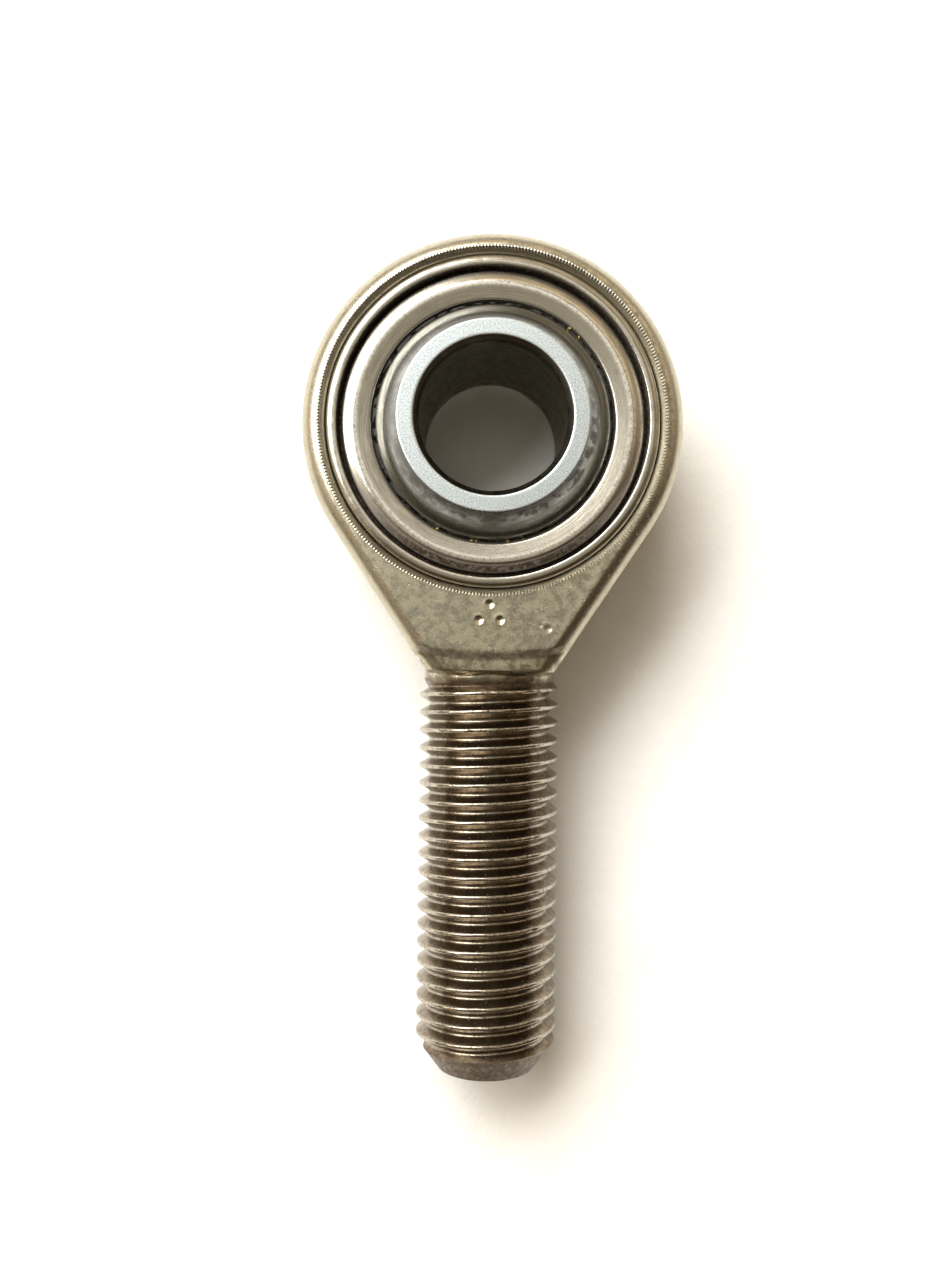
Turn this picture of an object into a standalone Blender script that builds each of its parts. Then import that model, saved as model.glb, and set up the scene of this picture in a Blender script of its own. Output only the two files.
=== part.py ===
"""Male rod end bearing: forged threaded eye, staked race, fabric liner and truncated ball.

Frame: origin at the ball's centre, +Z along the ball's bore, shank along -Y.
All driving sizes are in millimetres and are scaled to metres by MM.
"""

import math

import bmesh
import bpy

MM = 0.001

# ball
BALL_R = 11.1125          # 22.225 mm sphere
BALL_HALF_WIDTH = 8.0
BORE_R = 6.0
BORE_CHAMFER = 0.45

# liner
LINER_IN_R = 11.18
LINER_OUT_R = 11.42
LINER_EDGE_Z = 5.25

# race
RACE_IN_R = 11.48
RACE_OD_R = 13.00
RACE_EDGE_Z = 5.42        # race width at the ball opening
RIDGE_IN_R = 11.12        # the land rises outwards to a narrow flat ridge
RIDGE_OUT_R = 11.56
RIDGE_Z = 5.68
SLOPE_END_R = 12.40       # from the ridge a slope falls to the staking groove
SLOPE_END_Z = 5.28
GROOVE_R = 12.52
GROOVE_Z = 4.35
LIP_IN_R = 12.88
LIP_OUT_R = 13.62
LIP_TOP_Z = 5.92

# body: head
HEAD_R = 15.80
HEAD_HALF = 6.0
EYE_R = 13.05
EYE_CHAMFER_R = 14.22
EYE_CHAMFER_Z = 4.83
TAPER_DEG = 33.5          # angle of the shoulders to the shank axis
SHOULDER_Y = 18.9         # where the flat faces end
DRAFT = 0.018             # forging draft of the side walls

# body: neck and thread (M12 x 1.5, right hand)
PITCH = 1.5
THREAD_R = 5.93
ROOT_R = 5.09
BLANK_R = 5.52            # rolled thread: the neck keeps the blank's radius
NECK_END_Y = 20.9
FIRST_CREST_Y = 22.15     # first crest on the upper side
RUN_IN = (21.15, 22.25)   # the thread's depth grows over this stretch
END_Y = 54.0
END_R = 4.05
END_SLOPE = 0.75          # end cone: radius lost per millimetre

SEG_RING = 64             # segments around the eye
SEG_SHANK = 32            # segments around the shank


def material(name, color, roughness, metallic):
    m = bpy.data.materials.new(name)
    m.use_nodes = True
    b = next(n for n in m.node_tree.nodes if n.type == "BSDF_PRINCIPLED")
    b.inputs["Base Color"].default_value = (*color, 1.0)
    b.inputs["Roughness"].default_value = roughness
    b.inputs["Metallic"].default_value = metallic
    m.diffuse_color = (*color, 1.0)
    return m


def make_object(name, verts, faces, mat, parent=None):
    """One closed body from points in millimetres, with its faces turned outwards."""
    mesh = bpy.data.meshes.new(name)
    mesh.from_pydata([tuple(c * MM for c in v) for v in verts], [], faces)
    bm = bmesh.new()
    bm.from_mesh(mesh)
    bmesh.ops.triangulate(bm, faces=[f for f in bm.faces if len(f.verts) > 4])
    bmesh.ops.recalc_face_normals(bm, faces=bm.faces)
    if bm.calc_volume(signed=True) < 0:
        bmesh.ops.reverse_faces(bm, faces=bm.faces)
    bm.to_mesh(mesh)
    bm.free()
    mesh.materials.append(mat)
    mesh.shade_smooth()
    mesh.set_sharp_from_angle(angle=math.radians(28))
    ob = bpy.data.objects.new(name, mesh)
    bpy.context.scene.collection.objects.link(ob)
    ob.parent = parent
    return ob


def turned(profile, segments):
    """A ring turned about Z from a closed (radius, z) profile."""
    verts, faces, n = [], [], len(profile)
    for i in range(segments):
        a = 2 * math.pi * i / segments
        verts += [(r * math.sin(a), -r * math.cos(a), z) for r, z in profile]
    for i in range(segments):
        j = (i + 1) % segments
        for k in range(n):
            m = (k + 1) % n
            faces.append((i * n + k, i * n + m, j * n + m, j * n + k))
    return verts, faces


def arc(radius, start, end, steps):
    """Points of a sphere's meridian between two heights, as (radius, z)."""
    a0, a1 = math.asin(start / radius), math.asin(end / radius)
    return [
        (radius * math.cos(a0 + (a1 - a0) * i / steps), radius * math.sin(a0 + (a1 - a0) * i / steps))
        for i in range(steps + 1)
    ]


def ball_profile():
    w, c = BALL_HALF_WIDTH, BORE_CHAMFER
    outer = arc(BALL_R, -w, w, 16)
    return outer + [(BORE_R + c, w), (BORE_R, w - 1.1 * c), (BORE_R, -w + 1.1 * c), (BORE_R + c, -w)]


def liner_profile():
    return arc(LINER_OUT_R, -LINER_EDGE_Z, LINER_EDGE_Z, 12) + arc(LINER_IN_R, LINER_EDGE_Z, -LINER_EDGE_Z, 12)


def race_profile():
    def face(s):
        """Groove, lip and outer edge of one face, from the land outwards."""
        return [
            (RIDGE_IN_R, s * RIDGE_Z),
            (RIDGE_OUT_R, s * RIDGE_Z),
            (SLOPE_END_R, s * SLOPE_END_Z),
            (GROOVE_R, s * GROOVE_Z),
            (GROOVE_R + 0.14, s * (GROOVE_Z + 0.05)),
            (LIP_IN_R, s * (LIP_TOP_Z - 0.14)),
            (LIP_IN_R + 0.20, s * LIP_TOP_Z),
            (LIP_OUT_R, s * (LIP_TOP_Z - 0.16)),
            (RACE_OD_R + 0.08, s * 5.05),
            (RACE_OD_R, s * (EYE_CHAMFER_Z - 0.02)),
        ]

    inner = arc(RACE_IN_R, -RACE_EDGE_Z, RACE_EDGE_Z, 12)
    return inner + face(1) + face(-1)[::-1]


def side_layers():
    """The head's edge from the lower face to the upper face, as (height, inset of the outline)."""
    upper = [(0.0, 0.0), (1.2, 0.0), (2.4, 0.0), (3.5, 0.0), (4.4, 0.05), (5.1, 0.27), (5.65, 0.65), (HEAD_HALF, 1.30)]
    upper = [(z, d + DRAFT * z) for z, d in upper]
    return [(-z, d) for z, d in upper[:0:-1]] + upper


def taper_half_width(y, inset):
    """Half width of the shoulders at distance y along the shank."""
    t = math.radians(TAPER_DEG)
    return (HEAD_R - inset - y * math.sin(t)) / math.cos(t)


def outline(i, inset):
    """Point i of the head's outline; 0 is on the shank side, and i runs anticlockwise seen from +Z."""
    side = 1 if i <= SEG_RING // 2 else -1
    k = i if side == 1 else SEG_RING - i
    t = math.radians(TAPER_DEG)
    tangent_y = (HEAD_R - inset) * math.sin(t)
    taper_points = 10
    if k <= taper_points:
        f = (k - 1) / taper_points
        y = SHOULDER_Y + (tangent_y - SHOULDER_Y) * f
        return side * taper_half_width(y, inset), -y
    a = 2 * math.pi * k / SEG_RING
    r = HEAD_R - inset
    return side * r * math.sin(a), -r * math.cos(a)


def thread_radius(phase, depth, y):
    """Radius of the thread's surface at a corner of its profile, cut back by the end cone."""
    r = THREAD_R if phase in (1, 2) else ROOT_R
    r = BLANK_R + depth * (r - BLANK_R)
    return min(r, END_R + END_SLOPE * (END_Y - y))


def thread_depth(y):
    a, b = RUN_IN
    t = min(1.0, max(0.0, (y - a) / (b - a)))
    return t * t * (3 - 2 * t)


def body_mesh():
    verts, faces = [], []

    def add(x, y, z):
        verts.append((x, y, z))
        return len(verts) - 1

    layers = side_layers()
    count = len(layers)
    # side walls and rounded edges: one open loop of points for each layer
    wall = []
    for z, d in layers:
        wall.append({i: add(*outline(i, d), z) for i in range(1, SEG_RING)})
    for a, b in zip(wall, wall[1:]):
        for i in range(1, SEG_RING - 1):
            faces.append((a[i], a[i + 1], b[i + 1], b[i]))
    # flat faces, staking chamfers and the eye
    mids, mouths = {}, {}
    for s, loop in ((-1, wall[0]), (1, wall[-1])):
        mids[s] = add(0.0, -SHOULDER_Y, s * HEAD_HALF)
        circle = []
        for radius, z in ((EYE_CHAMFER_R, HEAD_HALF), (EYE_R, EYE_CHAMFER_Z)):
            ring = []
            for i in range(SEG_RING):
                a = 2 * math.pi * i / SEG_RING
                ring.append(add(radius * math.sin(a), -radius * math.cos(a), s * z))
            circle.append(ring)
        rim = [mids[s]] + [loop[i] for i in range(1, SEG_RING)]
        for i in range(SEG_RING):
            j = (i + 1) % SEG_RING
            faces.append((rim[i], rim[j], circle[0][j], circle[0][i]))
            faces.append((circle[0][i], circle[0][j], circle[1][j], circle[1][i]))
        mouths[s] = circle[1]
    for i in range(SEG_RING):
        j = (i + 1) % SEG_RING
        faces.append((mouths[1][i], mouths[1][j], mouths[-1][j], mouths[-1][i]))

    # neck: from the section at the shoulders to a circle
    n = SEG_SHANK
    half = n // 2
    ring = [mids[1]] + [wall[count - q][1] for q in range(1, half)] + [mids[-1]]
    ring += [wall[q - half - 1][SEG_RING - 1] for q in range(half + 1, n)]
    shoulder = ring
    for y, blend, top in ((19.25, 0.25, 5.80), (19.7, 0.50, 5.68), (20.2, 0.80, 5.58), (NECK_END_Y, 1.0, BLANK_R)):
        new = []
        for q in range(n):
            a = 2 * math.pi * q / n
            cx, cz = BLANK_R * math.sin(a), BLANK_R * math.cos(a)
            hx, _, hz = verts[shoulder[q]]
            widest = taper_half_width(SHOULDER_Y, 0.0)
            hx *= max(taper_half_width(y, 0.0), BLANK_R) / widest
            hz *= top / HEAD_HALF
            new.append(add(hx + (cx - hx) * blend, -y, hz + (cz - hz) * blend))
        for q in range(n):
            w = (q + 1) % n
            faces.append((ring[q], ring[w], new[w], new[q]))
        ring = new
    upper = ring

    # thread: four helical lines for each turn (root end, crest start, crest end, root start)
    flat_crest, flat_root = 0.125, 0.22
    flank = (1 - flat_crest - flat_root) / 2
    corner = [
        -flat_crest / 2 - flank,
        -flat_crest / 2,
        flat_crest / 2,
        flat_crest / 2 + flank,
    ]
    margin = 0.12
    cols = []
    for q in range(n):
        col = {}
        for turn in range(-3, 26):
            for c in range(4):
                y = FIRST_CREST_Y + PITCH * (turn + corner[c]) - PITCH * q / n
                if NECK_END_Y + margin < y < END_Y - margin:
                    r = thread_radius(c, thread_depth(y), y)
                    a = 2 * math.pi * q / n
                    col[4 * turn + c] = add(r * math.sin(a), -y, r * math.cos(a))
        cols.append(col)
    end = [
        add(END_R * math.sin(2 * math.pi * q / n), -END_Y, END_R * math.cos(2 * math.pi * q / n))
        for q in range(n)
    ]
    for q in range(n):
        w = (q + 1) % n
        shift = 4 if q == n - 1 else 0
        a = cols[q]
        b = {k + shift: v for k, v in cols[w].items()}
        both = sorted(set(a) & set(b))
        for k, m in zip(both, both[1:]):
            faces.append((a[k], b[k], b[m], a[m]))
        first, last = both[0], both[-1]
        low_a = [a[k] for k in sorted(a) if k < first]
        low_b = [b[k] for k in sorted(b) if k < first]
        faces.append((upper[q], *low_a, a[first], b[first], *reversed(low_b), upper[w]))
        high_a = [a[k] for k in sorted(a) if k > last]
        high_b = [b[k] for k in sorted(b) if k > last]
        faces.append((a[last], *high_a, end[q], end[w], *reversed(high_b), b[last]))
    centre = add(0.0, -END_Y, 0.0)
    for q in range(n):
        faces.append((end[q], centre, end[(q + 1) % n]))
    return verts, faces


def empty(name, location, parent=None):
    ob = bpy.data.objects.new(name, None)
    bpy.context.scene.collection.objects.link(ob)
    ob.location = location
    ob.parent = parent
    ob.empty_display_size = 0.01
    return ob


def main():
    for ob in list(bpy.data.objects):
        bpy.data.objects.remove(ob, do_unlink=True)
    steel = material("body_steel", (0.42, 0.39, 0.33), 0.38, 1.0)
    ring = material("race_steel", (0.50, 0.48, 0.44), 0.30, 1.0)
    cloth = material("liner_fabric", (0.10, 0.075, 0.035), 0.75, 0.0)
    chrome = material("ball_steel", (0.62, 0.63, 0.64), 0.16, 1.0)

    turn = empty("ball_turn_axis", (0.0, 0.0, 0.0))
    tilt = empty("ball_tilt_axis", (0.0, 0.0, 0.0), turn)
    make_object("rod_end_body", *body_mesh(), steel)
    make_object("outer_race", *turned(race_profile(), SEG_RING), ring)
    make_object("liner", *turned(liner_profile(), SEG_RING), cloth, turn)
    make_object("ball", *turned(ball_profile(), SEG_RING), chrome, tilt)


main()
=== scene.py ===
"""The looks of a male rod end bearing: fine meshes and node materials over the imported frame.

Lengths in the shape code are millimetres and are scaled to metres when a mesh is made.
The ball's centre is the origin, +Z is the ball's bore, and the shank runs along -Y.
"""

import math

import bpy
import numpy as np
from mathutils import Matrix
from mathutils.geometry import delaunay_2d_cdt

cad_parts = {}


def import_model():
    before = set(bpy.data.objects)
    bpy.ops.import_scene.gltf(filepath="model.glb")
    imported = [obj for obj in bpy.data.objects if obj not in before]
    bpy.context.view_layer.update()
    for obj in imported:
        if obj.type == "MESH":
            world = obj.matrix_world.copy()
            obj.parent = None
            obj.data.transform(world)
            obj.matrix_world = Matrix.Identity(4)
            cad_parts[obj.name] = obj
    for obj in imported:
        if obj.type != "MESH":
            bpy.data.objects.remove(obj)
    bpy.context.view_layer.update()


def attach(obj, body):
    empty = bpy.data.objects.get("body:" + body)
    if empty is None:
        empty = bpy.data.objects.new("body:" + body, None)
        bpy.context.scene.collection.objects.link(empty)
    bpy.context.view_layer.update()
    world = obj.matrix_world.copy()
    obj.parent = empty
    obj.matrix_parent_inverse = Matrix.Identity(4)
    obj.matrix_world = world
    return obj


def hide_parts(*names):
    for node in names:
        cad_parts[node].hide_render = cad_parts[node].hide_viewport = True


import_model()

MM = 0.001
TAU = 2 * math.pi

BALL_R, BALL_W, BORE_R, BORE_C = 11.1125, 8.0, 6.0, 0.45
LINER_IN_R, LINER_OUT_R, LINER_Z = 11.18, 11.42, 5.25
RACE_IN_R, RACE_OD_R = 11.48, 13.00
HEAD_R, HEAD_HALF, EYE_R = 15.80, 6.0, 13.05
EYE_CHAMFER_R, EYE_CHAMFER_Z = 14.22, 4.83
TAPER = math.radians(33.5)
SHOULDER_Y, DRAFT = 18.9, 0.018
PITCH, THREAD_R, ROOT_R, BLANK_R = 1.5, 5.95, 5.07, 5.52
NECK_END_Y, FIRST_CREST_Y, RUN_IN = 20.9, 22.15, (21.0, 22.2)
END_Y, END_R, END_SLOPE = 54.0, 4.05, 0.75


# ---------------------------------------------------------------- noise
def lattice(ix, iy, iz, seed):
    h = (ix * 73856093) ^ (iy * 19349663) ^ (iz * 83492791) ^ (seed * 40503)
    h = (h & 0x7FFFFFFF) * 1103515245 + 12345
    h = ((h >> 13) ^ h) & 0x7FFFFFFF
    h = (h * 1274126177 + 7) & 0x7FFFFFFFFFFF
    return ((h >> 15) & 0xFFFF) / 65535.0


def noise(p, scale, seed=0):
    """Smooth value noise, -1 to 1, at points p (n, 3) in millimetres."""
    q = np.asarray(p, float) * scale
    base = np.floor(q).astype(np.int64)
    f = q - base
    f = f * f * (3 - 2 * f)
    out = 0.0
    for dx in (0, 1):
        for dy in (0, 1):
            for dz in (0, 1):
                w = (
                    (f[:, 0] if dx else 1 - f[:, 0])
                    * (f[:, 1] if dy else 1 - f[:, 1])
                    * (f[:, 2] if dz else 1 - f[:, 2])
                )
                out = out + w * lattice(base[:, 0] + dx, base[:, 1] + dy, base[:, 2] + dz, seed)
    return out * 2 - 1


def fbm(p, scale, seed=0, octaves=3):
    total, amp, norm = 0.0, 1.0, 0.0
    for o in range(octaves):
        total = total + amp * noise(p, scale * 2**o, seed + 17 * o)
        norm += amp
        amp *= 0.5
    return total / norm


def smooth(a, b, x):
    t = np.clip((np.asarray(x, float) - a) / (b - a), 0, 1)
    return t * t * (3 - 2 * t)


def smin(a, b, k):
    h = np.clip(0.5 + 0.5 * (b - a) / k, 0, 1)
    return b * (1 - h) + a * h - k * h * (1 - h)


# ---------------------------------------------------------------- mesh helpers
def weld(verts, faces, step=2e-4):
    """Merges points that coincide and drops the faces that collapse."""
    v = np.asarray(verts, float)
    key = np.round(v / step).astype(np.int64)
    _, first, inverse = np.unique(key, axis=0, return_index=True, return_inverse=True)
    inverse = inverse.reshape(-1)
    kept = []
    for face in faces:
        loop = []
        for i in face:
            j = int(inverse[i])
            if not loop or loop[-1] != j:
                loop.append(j)
        if len(loop) > 1 and loop[0] == loop[-1]:
            loop.pop()
        if len(loop) >= 3 and len(set(loop)) == len(loop):
            kept.append(tuple(loop))
    return v[first], kept


def make_piece(name, verts, faces, mat, body, slot, nodes=(), sharp=32, **attributes):
    """A mesh piece from millimetre points, with float attributes for its material."""
    mesh = bpy.data.meshes.new(name)
    mesh.from_pydata([tuple(c) for c in np.asarray(verts) * MM], [], faces)
    mesh.validate(clean_customdata=False)
    import bmesh

    bm = bmesh.new()
    bm.from_mesh(mesh)
    bmesh.ops.recalc_face_normals(bm, faces=bm.faces)
    if bm.calc_volume(signed=True) < 0:
        bmesh.ops.reverse_faces(bm, faces=bm.faces)
    bm.to_mesh(mesh)
    open_edges = sum(1 for e in bm.edges if not e.is_manifold)
    tris = sum(len(f.verts) - 2 for f in bm.faces)
    bm.free()
    mesh.materials.append(mat)
    mesh.shade_smooth()
    mesh.set_sharp_from_angle(angle=math.radians(sharp))
    for key, values in attributes.items():
        a = mesh.attributes.new(key, "FLOAT", "POINT")
        a.data.foreach_set("value", np.clip(values, 0, 1).astype(np.float32))
    ob = bpy.data.objects.new(name, mesh)
    bpy.context.scene.collection.objects.link(ob)
    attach(ob, body)
    if nodes:
        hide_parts(*nodes)
    print(f"{name}: {tris} triangles, {open_edges} open edges")
    return ob


def lathe(profile, segments, wobble=None):
    """Closed (radius, z) profile turned about Z. Returns points, faces and each point's profile index."""
    prof = np.asarray(profile, float)
    n = len(prof)
    a = TAU * np.arange(segments) / segments
    r = np.repeat(prof[None, :, 0], segments, 0)
    z = np.repeat(prof[None, :, 1], segments, 0)
    ang = np.repeat(a[:, None], n, 1)
    if wobble is not None:
        r, z = wobble(ang, r, z)
    v = np.stack([r * np.sin(ang), -r * np.cos(ang), z], -1).reshape(-1, 3)
    faces = []
    for i in range(segments):
        j = (i + 1) % segments
        for k in range(n):
            m = (k + 1) % n
            faces.append((i * n + k, i * n + m, j * n + m, j * n + k))
    return v, faces, np.tile(np.arange(n), segments)


def meridian(radius, z0, z1, steps):
    a = np.linspace(math.asin(z0 / radius), math.asin(z1 / radius), steps + 1)
    return [(radius * math.cos(t), radius * math.sin(t)) for t in a]


def dense(points, spacing):
    """Adds points along straight runs of a profile so that none is longer than spacing."""
    out = []
    for (r0, z0), (r1, z1) in zip(points, points[1:]):
        steps = max(1, int(math.ceil(math.hypot(r1 - r0, z1 - z0) / spacing)))
        out += [(r0 + (r1 - r0) * i / steps, z0 + (z1 - z0) * i / steps) for i in range(steps)]
    return out + [points[-1]]


# ---------------------------------------------------------------- node materials
class Tree:
    """A short way to write a node material. Positions are the piece's own, in millimetres."""

    def __init__(self, name):
        self.material = bpy.data.materials.new(name)
        self.material.use_nodes = True
        self.t = self.material.node_tree
        self.t.nodes.clear()
        self.shader = self.t.nodes.new("ShaderNodeBsdfPrincipled")
        out = self.t.nodes.new("ShaderNodeOutputMaterial")
        self.t.links.new(self.shader.outputs[0], out.inputs[0])
        coords = self.t.nodes.new("ShaderNodeTexCoord")
        self.mm = self.vector("SCALE", coords.outputs["Object"], scale=1000.0)

    def put(self, socket, value):
        if isinstance(value, bpy.types.NodeSocket):
            self.t.links.new(value, socket)
        elif isinstance(value, (tuple, list)) and len(value) == 3 and socket.type == "RGBA":
            socket.default_value = (*value, 1.0)
        else:
            socket.default_value = value

    def vector(self, operation, a, b=None, scale=None):
        n = self.t.nodes.new("ShaderNodeVectorMath")
        n.operation = operation
        self.put(n.inputs[0], a)
        if b is not None:
            self.put(n.inputs[1], b)
        if scale is not None:
            n.inputs["Scale"].default_value = scale
        return n.outputs["Value"] if operation in ("LENGTH", "DOT_PRODUCT") else n.outputs[0]

    def math(self, operation, a, b=None, clamp=False):
        n = self.t.nodes.new("ShaderNodeMath")
        n.operation, n.use_clamp = operation, clamp
        self.put(n.inputs[0], a)
        if b is not None:
            self.put(n.inputs[1], b)
        return n.outputs[0]

    def noise(self, scale, detail=4.0, rough=0.55, vector=None, distortion=0.0):
        n = self.t.nodes.new("ShaderNodeTexNoise")
        self.put(n.inputs["Vector"], vector or self.mm)
        n.inputs["Scale"].default_value = scale
        n.inputs["Detail"].default_value = detail
        n.inputs["Roughness"].default_value = rough
        n.inputs["Distortion"].default_value = distortion
        return n.outputs[0]

    def cells(self, scale, vector=None):
        n = self.t.nodes.new("ShaderNodeTexVoronoi")
        self.put(n.inputs["Vector"], vector or self.mm)
        n.inputs["Scale"].default_value = scale
        return n.outputs["Distance"]

    def band(self, value, lo, hi, out_lo=0.0, out_hi=1.0):
        n = self.t.nodes.new("ShaderNodeMapRange")
        n.interpolation_type = "SMOOTHSTEP"
        self.put(n.inputs["Value"], value)
        for key, v in (("From Min", lo), ("From Max", hi), ("To Min", out_lo), ("To Max", out_hi)):
            n.inputs[key].default_value = v
        return n.outputs[0]

    def mix(self, factor, a, b):
        n = self.t.nodes.new("ShaderNodeMix")
        n.data_type = "RGBA"
        self.put(n.inputs["Factor"], factor)
        self.put(n.inputs[6], a)
        self.put(n.inputs[7], b)
        return n.outputs[2]

    def attribute(self, name):
        n = self.t.nodes.new("ShaderNodeAttribute")
        n.attribute_name = name
        return n.outputs["Fac"]

    def polar(self, along=1.0, angular=1.0, axial=1.0):
        """(angle * angular, radius * along, z * axial): stretches a texture round the ring."""
        sep = self.t.nodes.new("ShaderNodeSeparateXYZ")
        self.t.links.new(self.mm, sep.inputs[0])
        angle = self.math("ARCTAN2", sep.outputs[1], sep.outputs[0])
        flat = self.t.nodes.new("ShaderNodeCombineXYZ")
        self.put(flat.inputs[0], sep.outputs[0])
        self.put(flat.inputs[1], sep.outputs[1])
        radius = self.vector("LENGTH", flat.outputs[0])
        out = self.t.nodes.new("ShaderNodeCombineXYZ")
        # sine and cosine of the angle keep the pattern whole where the angle wraps
        self.put(out.inputs[0], self.math("ADD", self.math("MULTIPLY", self.math("COSINE", angle), angular * 1.07), 0.413))
        self.put(out.inputs[1], self.math("ADD", self.math("MULTIPLY", self.math("SINE", angle), angular * 1.07), 0.287))
        mixed = self.math("ADD", self.math("MULTIPLY", radius, along), self.math("MULTIPLY", sep.outputs[2], axial))
        self.put(out.inputs[2], mixed)
        return out.outputs[0], radius, angle, sep.outputs

    def bumps(self, *layers):
        """Bump from (height, strength, distance in millimetres) layers, chained."""
        last = None
        for height, strength, distance in layers:
            n = self.t.nodes.new("ShaderNodeBump")
            self.put(n.inputs["Height"], height)
            n.inputs["Strength"].default_value = strength
            n.inputs["Distance"].default_value = distance * MM
            if last is not None:
                self.t.links.new(last, n.inputs["Normal"])
            last = n.outputs[0]
        self.t.links.new(last, self.shader.inputs["Normal"])

    def set(self, **values):
        for key, value in values.items():
            self.put(self.shader.inputs[key.replace("_", " ")], value)


def body_material():
    """Tumbled, lightly yellowed plating on forged steel; rolled thread smoother and browner."""
    m = Tree("body_plating")
    wear, grime, thread = m.attribute("wear"), m.attribute("grime"), m.attribute("thread")
    side = m.attribute("side")
    calm = m.band(side, 0.0, 1.0, 1.0, 0.30)
    cloud = m.noise(0.75, 6.0, 0.62, distortion=0.4)
    mottle = m.noise(1.9, 7.0, 0.72)
    grain = m.noise(11.0, 3.0, 0.6)
    speck = m.noise(24.0, 2.0, 0.5)
    pits = m.band(m.cells(1.5), 0.035, 0.11, 1.0, 0.0)
    tone = m.math("ADD", m.math("MULTIPLY", cloud, 0.42), m.math("MULTIPLY", mottle, 0.58))
    flat = m.mix(m.band(tone, 0.43, 0.58), (0.25, 0.232, 0.172), (0.62, 0.585, 0.450))
    flat = m.mix(m.band(grain, 0.50, 0.72, 0.0, 0.32), flat, (0.80, 0.76, 0.60))
    flat = m.mix(m.band(speck, 0.62, 0.74, 0.0, 0.30), flat, (0.22, 0.19, 0.13))
    rolled = m.mix(m.band(mottle, 0.42, 0.60), (0.150, 0.114, 0.075), (0.27, 0.220, 0.156))
    brushed = m.mix(m.band(grain, 0.36, 0.66), (0.42, 0.390, 0.300), (0.55, 0.515, 0.405))
    flat = m.mix(m.math("MULTIPLY", side, 0.90), flat, brushed)
    base = m.mix(thread, flat, rolled)
    # worn bright on crests and edges; along the thread's roots the wear attribute is a painted highlight
    worn = m.math("MULTIPLY", wear, m.band(m.noise(5.5, 4.0, 0.7), 0.34, 0.56))
    base = m.mix(worn, base, (0.86, 0.835, 0.765))
    # darkening from the mesh attribute read above: painted shade in the chamfer and on the end cone, darker patches
    # elsewhere, and pits
    patchy_darkening_and_painted_shade = m.math("MULTIPLY", grime, m.band(m.noise(2.6, 5.0, 0.7), 0.30, 0.60, 0.35, 1.0))
    dark = m.math("MAXIMUM", patchy_darkening_and_painted_shade, m.math("MULTIPLY", pits, 0.55))
    base = m.mix(dark, base, (0.072, 0.044, 0.026))
    rough = m.band(tone, 0.38, 0.64, 0.37, 0.27)
    rough = m.math("ADD", rough, m.math("MULTIPLY", thread, -0.10))
    rough = m.math("ADD", rough, m.math("MULTIPLY", worn, -0.14))
    rough = m.math("ADD", rough, m.math("MULTIPLY", dark, 0.28), clamp=True)
    m.set(Base_Color=base, Roughness=rough, Metallic=m.band(dark, 0.1, 0.95, 1.0, 0.45))
    # tool chatter on the staking chamfer's outer edge
    _, radius, angle, parts = m.polar()
    chatter = m.math("SINE", m.math("MULTIPLY", angle, 330.0))
    ring = m.math("MULTIPLY", m.band(radius, 14.02, 14.16), m.band(radius, 14.24, 14.34, 1.0, 0.0))
    chatter = m.math("MULTIPLY", chatter, ring)
    # the forging's trimmed seam, half way up the side wall
    height = m.math("ADD", m.math("ABSOLUTE", parts[2]), m.math("MULTIPLY", m.math("SUBTRACT", mottle, 0.5), 0.22))
    seam = m.math("MULTIPLY", side, m.band(height, 0.34, 0.52, 1.0, 0.0))
    m.set(Base_Color=m.mix(m.math("MULTIPLY", seam, 0.45), base, (0.66, 0.62, 0.50)))
    m.bumps(
        (seam, 0.6, 0.045),
        (m.math("MULTIPLY", tone, calm), 0.55, 0.030),
        (m.math("MULTIPLY", grain, calm), 0.45, 0.012),
        (speck, 0.35, 0.006),
        (m.math("SUBTRACT", 1.0, pits), 0.6, 0.03),
        (chatter, 0.5, 0.03),
    )
    return m.material


def race_material():
    """Turned ring with concentric marks, worn bright on the ridge and the staked lip."""
    m = Tree("race_turned")
    wear, grime = m.attribute("wear"), m.attribute("grime")
    stretched, radius, angle, parts = m.polar(along=9.0, angular=5.0, axial=9.0)
    lines = m.noise(1.0, 5.0, 0.6, vector=stretched)
    fine, *_ = m.polar(along=30.0, angular=9.0, axial=30.0)
    hair = m.noise(1.0, 3.0, 0.6, vector=fine)
    cloud = m.noise(1.3, 5.0, 0.6)
    base = m.mix(m.band(lines, 0.36, 0.66), (0.42, 0.40, 0.345), (0.62, 0.59, 0.52))
    base = m.mix(m.band(cloud, 0.55, 0.75, 0.0, 0.35), base, (0.30, 0.265, 0.20))
    worn = m.math("MULTIPLY", wear, m.band(m.noise(4.2, 5.0, 0.72), 0.30, 0.55))
    base = m.mix(worn, base, (0.88, 0.865, 0.82))
    # painted shade: darkens to near black where the mesh attribute marks the groove, the slope and the gaps beside
    # body and ball
    patchy_darkening_and_painted_shade = m.math("MULTIPLY", grime, m.band(m.noise(3.4, 5.0, 0.7), 0.22, 0.56, 0.5, 1.0))
    base = m.mix(patchy_darkening_and_painted_shade, base, (0.034, 0.021, 0.012))
    rough = m.band(lines, 0.34, 0.68, 0.28, 0.18)
    rough = m.math("ADD", rough, m.math("MULTIPLY", worn, -0.06))
    rough = m.math("ADD", rough, m.math("MULTIPLY", patchy_darkening_and_painted_shade, 0.26), clamp=True)
    m.set(Base_Color=base, Roughness=rough, Metallic=m.band(patchy_darkening_and_painted_shade, 0.1, 0.9, 1.0, 0.2))
    m.bumps((lines, 0.45, 0.012), (hair, 0.40, 0.005), (m.noise(9.0, 3.0, 0.6), 0.25, 0.008))
    return m.material


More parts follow.
